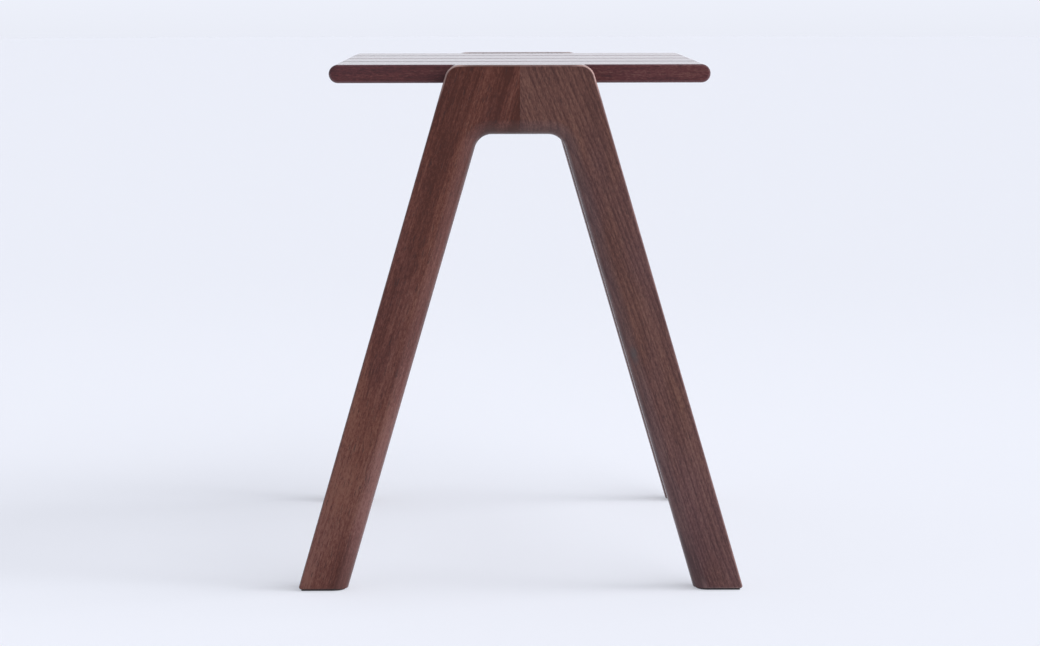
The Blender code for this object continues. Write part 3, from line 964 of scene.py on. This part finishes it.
def make_leg(end, end_sign, side, side_sign, depths, seed):
    name = f"{end}_{side}_leg"
    frame_y = end_sign * FRAME_Y
    points, rounds, wear_and_highlight_shares = leg_outline(FOOT_WEAR_AND_HIGHLIGHT[side])

    def place(x, z, level):
        return Vector((side_sign * x, frame_y + level, z))

    bm = bmesh.new()
    add_plate(bm, points, rounds, wear_and_highlight_shares, FRAME_THICKNESS, depths, place)
    top_x = side_sign * (HEAD_HALF_WIDTH - LEG_LEVEL_WIDTH / 2)
    placement = Matrix.Translation((top_x, frame_y, SEAT_HEIGHT))
    up = (-side_sign * math.sin(LEG_SPLAY), 0, math.cos(LEG_SPLAY))
    cutters = [mortise(*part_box(f"{end}_{level}_mitre_tenon")) for level in ("upper", "lower")]
    cutters += [dowel_hole(f"{end}_{side}_{level}_dowel") for level in ("lower", "upper")]
    material = walnut(f"walnut_{name}", seed, grain_axes(up), **LEG_FIGURES[name])
    make_piece(f"{name}_walnut", bm, placement, material, name, cutters)


def make_legs():
    depths = merged_depths(
        round_depths(INNER_ROUND, INNER_ROUND_STEPS),
        round_depths(OUTER_ROUND, OUTER_ROUND_STEPS),
    )
    seed = LEG_SEED
    for end, end_sign in ENDS:
        for side, side_sign in SIDES:
            make_leg(end, end_sign, side, side_sign, depths, seed)
            seed += 1


def slat_hole(name, slat_bottom):
    _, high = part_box(name)
    return cylinder(SHANK_RADIUS + PLAY, slat_bottom - PLAY, high.z + PLAY, upright_at(name))


def make_slats():
    outline = stadium_outline(SLAT_LENGTH, SLAT_THICKNESS, SLAT_END_STEPS, SLAT_EDGE_STEPS)
    rounds = [SLAT_ARRIS] * len(outline)
    wear_and_highlight_shares = [SLAT_WEAR_AND_REFLECTION_BELOW if point.y < 0 else SLAT_WEAR_AND_HIGHLIGHT_ABOVE for point in outline]
    depths = round_depths(SLAT_ARRIS, SLAT_ARRIS_STEPS)
    for number in SLATS:
        name = f"slat_{number}"
        low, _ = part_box(name)
        middle = middle_of(name)

        def place(x, z, level):
            return middle + Vector((x, level, z))

        bm = bmesh.new()
        add_plate(bm, outline, rounds, wear_and_highlight_shares, SLAT_WIDTH, depths, place)
        cutters = [slat_hole(f"{name}_{side}_screw", low.z) for side, _ in SIDES]
        material = walnut(f"walnut_{name}", SLAT_SEED + number, grain_axes((1, 0, 0)), **SLAT_FIGURE)
        placement = Matrix.Translation(middle)
        make_piece(f"{name}_walnut", bm, placement, material, name, cutters)


def counterbored_hole(name, low, high):
    """The hole for a screw whose head sits inside the rail, between the rail's low and high corners."""
    seat_z = SCREW_LOW.z + SCREW_HEAD_HEIGHT + PLAY
    profile = [
        (SHANK_RADIUS + PLAY, high.z + PLAY),
        (SHANK_RADIUS + PLAY, seat_z),
        (COUNTERBORE_RADIUS, seat_z),
        (COUNTERBORE_RADIUS, low.z - PLAY),
    ]
    bm = bmesh.new()
    add_turned(bm, profile, COUNTERBORE_SIDES, upright_at(name))
    return bm


def make_rails():
    outline = rail_outline()
    for side, _ in SIDES:
        name = f"{side}_rail"
        low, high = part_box(name)
        middle = middle_of(name)
        loops = [
            [Vector((middle.x + point.x, y, middle.z + point.y)) for point in outline]
            for y in (low.y, high.y)
        ]
        bm = bmesh.new()
        add_loft(bm, loops)
        cutters = [
            dowel_hole(f"{end}_{side}_{level}_dowel") for end, _ in ENDS for level in ("lower", "upper")
        ]
        cutters += [counterbored_hole(f"slat_{number}_{side}_screw", low, high) for number in SLATS]
        material = walnut(f"walnut_{name}", RAIL_SEEDS[side], grain_axes((0, 1, 0), (0, 0, 1)))
        placement = Matrix.Translation(middle)
        make_piece(f"{name}_walnut", bm, placement, material, name, cutters)


def make_pads(material):
    outline = pad_outline()
    rounds = [PAD_ARRIS] * len(outline)
    wear_and_highlight_shares = [PAD_WEAR] * len(outline)
    depths = round_depths(PAD_ARRIS, PAD_ARRIS_STEPS)
    for end, _ in ENDS:
        for side, side_sign in SIDES:
            name = f"{end}_{side}_foot_pad"
            middle = middle_of(name)

            def place(x, y, level):
                return middle + Vector((side_sign * x, y, level))

            bm = bmesh.new()
            add_plate(bm, outline, rounds, wear_and_highlight_shares, PAD_THICKNESS, depths, place)
            placement = Matrix.Translation(middle)
            make_piece(f"{name}_rubber", bm, placement, material, name)


THREAD_PITCH = 0.0018
THREAD_DEPTH = 0.0006
THREAD_START = 0.004
THREAD_RUN_IN = 0.002
THREAD_RIDGE = 0.28  # half the ridge's width, in pitches
THREAD_END_SHARE = 0.3  # the tip carries no thread where it is thinner than this share of the shank

HEAD_FLAT = 0.35  # the share of the head's radius that is flat
HEAD_DOME = 0.0018  # with the edge below it, the head is SCREW_HEAD_HEIGHT high
HEAD_EDGE = 0.0008
HEAD_BEVEL = 0.0002
HEAD_STEPS = 8
TIP_LENGTH = 0.005
TIP_RADIUS = 0.0002
SHANK_RINGS = 132
RECESS_SIZE = (0.0042, 0.0009, 0.0032)

SCREW_TURN = 0.7  # how far each slat's screws are turned on from the last slat's
LEFT_SCREW_TURN = 0.4


def thread_shape(radius, height, angle):
    """Cuts a single-start thread into a shank, and leaves the head and the tip's end alone."""
    if height <= THREAD_START or radius < SHANK_RADIUS * THREAD_END_SHARE:
        return radius
    turn = (height / THREAD_PITCH - angle / (2 * math.pi)) % 1.0
    ridge = max(0.0, 1.0 - abs(turn - 0.5) / THREAD_RIDGE)
    return radius - THREAD_DEPTH * (1.0 - ridge) * min(1.0, (height - THREAD_START) / THREAD_RUN_IN)


def screw_solid(length):
    """A pan-head screw, its head's seat at height 0, before its cross recess is cut."""
    head = []
    for step in range(HEAD_STEPS + 1):
        angle = math.pi / 2 * step / HEAD_STEPS
        reach = HEAD_RADIUS * (HEAD_FLAT + (1 - HEAD_FLAT) * math.sin(angle))
        head.append((reach, -HEAD_EDGE - HEAD_DOME * math.cos(angle)))
    shank = [(HEAD_RADIUS, -HEAD_BEVEL), (HEAD_RADIUS - HEAD_BEVEL, 0.0), (SHANK_RADIUS, 0.0)]
    for step in range(1, SHANK_RINGS + 1):
        height = length * step / SHANK_RINGS
        left = max(0.0, (length - height) / TIP_LENGTH)
        shank.append((max(TIP_RADIUS, SHANK_RADIUS * min(1.0, left)), height))
    bm = bmesh.new()
    add_turned(bm, head + shank, SCREW_SIDES, Matrix.Identity(4), thread_shape)
    return bm


def cross_recess(placement):
    """Two crossed blades that cut the recess into the head of a screw placed so."""
    blades = []
    for quarter in (0, 1):
        blade = bmesh.new()
        bmesh.ops.create_cube(blade, size=1.0)
        size = Matrix.Diagonal((*RECESS_SIZE, 1))
        spin = Matrix.Rotation(quarter * math.pi / 2, 4, "Z")
        down = Matrix.Translation((0, 0, -SCREW_HEAD_HEIGHT))
        bmesh.ops.transform(blade, matrix=placement @ down @ spin @ size, verts=blade.verts)
        blades.append(blade)
    return blades


def make_screws(material):
    length = SCREW_HIGH.z - SCREW_LOW.z - SCREW_HEAD_HEIGHT
    for number in SLATS:
        for side, _ in SIDES:
            name = f"slat_{number}_{side}_screw"
            low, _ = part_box(name)
            middle = middle_of(name)
            placement = Matrix.Translation((middle.x, middle.y, low.z + SCREW_HEAD_HEIGHT))
            turn = SCREW_TURN * number + (LEFT_SCREW_TURN if side == "left" else 0.0)
            turned = placement @ Matrix.Rotation(turn, 4, "Z")
            bm = screw_solid(length)
            bmesh.ops.transform(bm, matrix=turned, verts=bm.verts)
            cutters = cross_recess(turned)
            make_piece(f"{name}_steel", bm, placement, material, name, cutters)


DOWEL_CHAMFER = 0.001
FLUTES = 24
FLUTE_DEPTH = 0.00022


def flute_shape(radius, height, angle):
    """Shallow glue flutes round a dowel."""
    return radius - FLUTE_DEPTH * max(0.0, math.cos(FLUTES * angle)) ** 2


def make_dowels():
    material = beech("beech_dowel", DOWEL_SEED, grain_axes((0, 1, 0), (0, 0, 1)))
    radius = (DOWEL_HIGH.z - DOWEL_LOW.z) / 2
    half = (DOWEL_HIGH.y - DOWEL_LOW.y) / 2
    profile = [
        (radius - DOWEL_CHAMFER, -half),
        (radius, -half + DOWEL_CHAMFER),
        (radius, half - DOWEL_CHAMFER),
        (radius - DOWEL_CHAMFER, half),
    ]
    for end, _ in ENDS:
        for side, _ in SIDES:
            for level in ("lower", "upper"):
                name = f"{end}_{side}_{level}_dowel"
                middle = middle_of(name)
                bm = bmesh.new()
                add_turned(bm, profile, DOWEL_SIDES, along_y(*middle), flute_shape)
                placement = Matrix.Translation(middle)
                make_piece(f"{name}_beech", bm, placement, material, name)


def dress_tenons():
    """The loose tenons keep their CAD shape, with grain along X."""
    material = beech("beech_tenon", TENON_SEED, grain_axes((1, 0, 0)))
    for end, _ in ENDS:
        for level in ("upper", "lower"):
            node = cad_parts[f"{end}_{level}_mitre_tenon"]
            node.data.materials.clear()
            node.data.materials.append(material)


# ---- studio ----

CAMERA_PLACE = Vector((-0.01374, -2.61717, 0.51896))
CAMERA_YAW = math.radians(0.322)
CAMERA_PITCH = math.radians(6.847)
CAMERA_ROLL = math.radians(-0.099)
CAMERA_LENS = 98.25
CAMERA_SENSOR = 36.0
CAMERA_CLIP = 500.0


def make_camera():
    forward = Vector((
        math.sin(CAMERA_YAW) * math.cos(CAMERA_PITCH),
        math.cos(CAMERA_YAW) * math.cos(CAMERA_PITCH),
        -math.sin(CAMERA_PITCH),
    ))
    level = Vector((math.cos(CAMERA_YAW), -math.sin(CAMERA_YAW), 0))
    up = level.cross(forward)
    right = level * math.cos(CAMERA_ROLL) + up * math.sin(CAMERA_ROLL)
    above = up * math.cos(CAMERA_ROLL) - level * math.sin(CAMERA_ROLL)
    rotation = Matrix((right, above, -forward)).transposed().to_4x4()
    data = bpy.data.cameras.new("camera")
    data.lens = CAMERA_LENS
    data.sensor_width = CAMERA_SENSOR
    data.clip_end = CAMERA_CLIP
    camera = add_object("camera", data)
    camera.matrix_world = Matrix.Translation(CAMERA_PLACE) @ rotation
    bpy.context.scene.camera = camera


def stage_object(name, bm, material):
    mesh = mesh_of(name, bm)
    mesh.materials.append(material)
    return add_object(name, mesh)


FLOOR_RADIUS = 200.0
FLOOR_SIDES = 64
FLOOR_DROP = 0.0002  # keeps the floor clear of the pads' faces
FLOOR_COLOUR = (0.420, 0.430, 0.468, 1.0)
FLOOR_GLOW = (0.88, 0.90, 0.97, 1.0)
FLOOR_GLOW_STRENGTH = 0.45
FLOOR_GLOW_BEHIND = 0.41
BEHIND_FROM = (0.3, 2.6)  # the distances behind the bench over which the stage changes


def floor_material():
    """Pale and glowing faintly from above, and clear from below."""
    g = new_material("floor")
    behind = g.part(g.coordinates(), "Y")
    g.shade({
        "Base Color": FLOOR_COLOUR,
        "Roughness": 1.0,
        "Specular IOR Level": 0.0,
        "Emission Color": FLOOR_GLOW,
        "Emission Strength": g.span(
            behind, *BEHIND_FROM, FLOOR_GLOW_STRENGTH, FLOOR_GLOW_BEHIND, smooth=True
        ),
    })
    from_below = g.node("ShaderNodeNewGeometry").outputs["Backfacing"]
    clear = g.node("ShaderNodeBsdfTransparent").outputs[0]
    mix = g.node("ShaderNodeMixShader", {0: from_below, 1: g.shader.outputs[0], 2: clear})
    g.put(g.tree.nodes["Material Output"].inputs[0], mix.outputs[0])
    return g.owner


def make_floor():
    """A pale floor out to the horizon, clear from below so that the underside can be looked at."""
    bm = bmesh.new()
    bmesh.ops.create_circle(bm, cap_ends=True, radius=FLOOR_RADIUS, segments=FLOOR_SIDES)
    floor = stage_object("floor", bm, floor_material())
    floor.location.z = CAD_LOW.z - FLOOR_DROP


BACKDROP_RADIUS = 25.0
BACKDROP_SIDES = 96
BACKDROP_RINGS = 48
BACKDROP_GLOW = (0.859, 0.884, 0.969, 1.0)
BACKDROP_BEHIND = 0.959
BACKDROP_ABOVE = 1.03
BACKDROP_RISE = 0.35


def backdrop_material():
    g = new_material("backdrop")
    place = g.coordinates()
    behind = g.span(g.part(place, "Y"), *BEHIND_FROM, 1.0, BACKDROP_BEHIND)
    above = g.span(g.part(place, "Z"), 0.0, BACKDROP_RISE, 1.0, BACKDROP_ABOVE)
    g.shade({
        "Base Color": (0.0, 0.0, 0.0),
        "Specular IOR Level": 0.0,
        "Emission Color": BACKDROP_GLOW,
        "Emission Strength": g.math("MULTIPLY", behind, above),
    })
    return g.owner


def make_backdrop():
    """A pale dome that meets the floor. Only the camera sees it, so it changes no light."""
    bm = bmesh.new()
    bmesh.ops.create_uvsphere(
        bm, u_segments=BACKDROP_SIDES, v_segments=BACKDROP_RINGS, radius=BACKDROP_RADIUS
    )
    backdrop = stage_object("backdrop", bm, backdrop_material())
    backdrop.visible_diffuse = False
    backdrop.visible_glossy = False
    backdrop.visible_transmission = False
    backdrop.visible_volume_scatter = False
    backdrop.visible_shadow = False


WORLD_COLOUR = (0.93, 0.955, 1.03, 1.0)
WORLD_NEAR = 0.03
WORLD_FAR = 1.21
WORLD_FAR_FROM = (-0.9, -0.4)  # directions' Y, from the camera's side towards the back
WORLD_OVERHEAD = 0.38
WORLD_OVERHEAD_FROM = (0.1, 0.5)  # directions' Z


def make_world():
    """A pale room: bright behind and beside the object, dim round the camera and overhead."""
    world = bpy.data.worlds.new("studio")
    bpy.context.scene.world = world
    g = Graph(world, "Background")
    towards = g.coordinates("Generated")
    far = g.span(g.part(towards, "Y"), *WORLD_FAR_FROM, WORLD_NEAR, WORLD_FAR, smooth=True)
    overhead = g.span(g.part(towards, "Z"), *WORLD_OVERHEAD_FROM, 1.0, WORLD_OVERHEAD)
    g.shade({"Color": WORLD_COLOUR, "Strength": g.math("MULTIPLY", far, overhead)})


# Each softbox: azimuth and elevation in degrees, strength, spread in degrees, and whether reflections
# show it. Azimuth 0 is the camera's side, 90 is +X
SOFTBOXES = {
    "right_softbox": (88, 26, 0.35, 40, True),
    "right_fill": (88, 26, 1.3, 40, False),
    "high_softbox": (86, 48, 0.3, 14, True),
    "top_softbox": (88, 72, 0.2, 12, True),
    "front_softbox": (46, 26, 2.35, 66, False),
}


def make_softbox(name, azimuth, elevation, strength, spread, mirrored):
    """A softbox far enough off to light the whole floor evenly."""
    data = bpy.data.lights.new(name, "SUN")
    data.energy = strength
    data.angle = math.radians(spread)
    light = add_object(name, data)
    turn, rise = math.radians(azimuth), math.radians(elevation)
    level = math.cos(rise)
    towards = Vector((math.sin(turn) * level, -math.cos(turn) * level, math.sin(rise)))
    light.rotation_euler = towards.to_track_quat("Z", "Y").to_euler()
    light.visible_glossy = mirrored


def make_lights():
    """Softboxes to the right and overhead, and broad fills that no reflection shows."""
    for name, settings in SOFTBOXES.items():
        make_softbox(name, *settings)


def main():
    bpy.context.scene.view_settings.view_transform = "Standard"
    make_camera()
    make_floor()
    make_backdrop()
    make_world()
    make_lights()
    make_legs()
    make_slats()
    make_rails()
    make_pads(rubber_material())
    make_screws(steel_material())
    make_dowels()
    dress_tenons()


main()
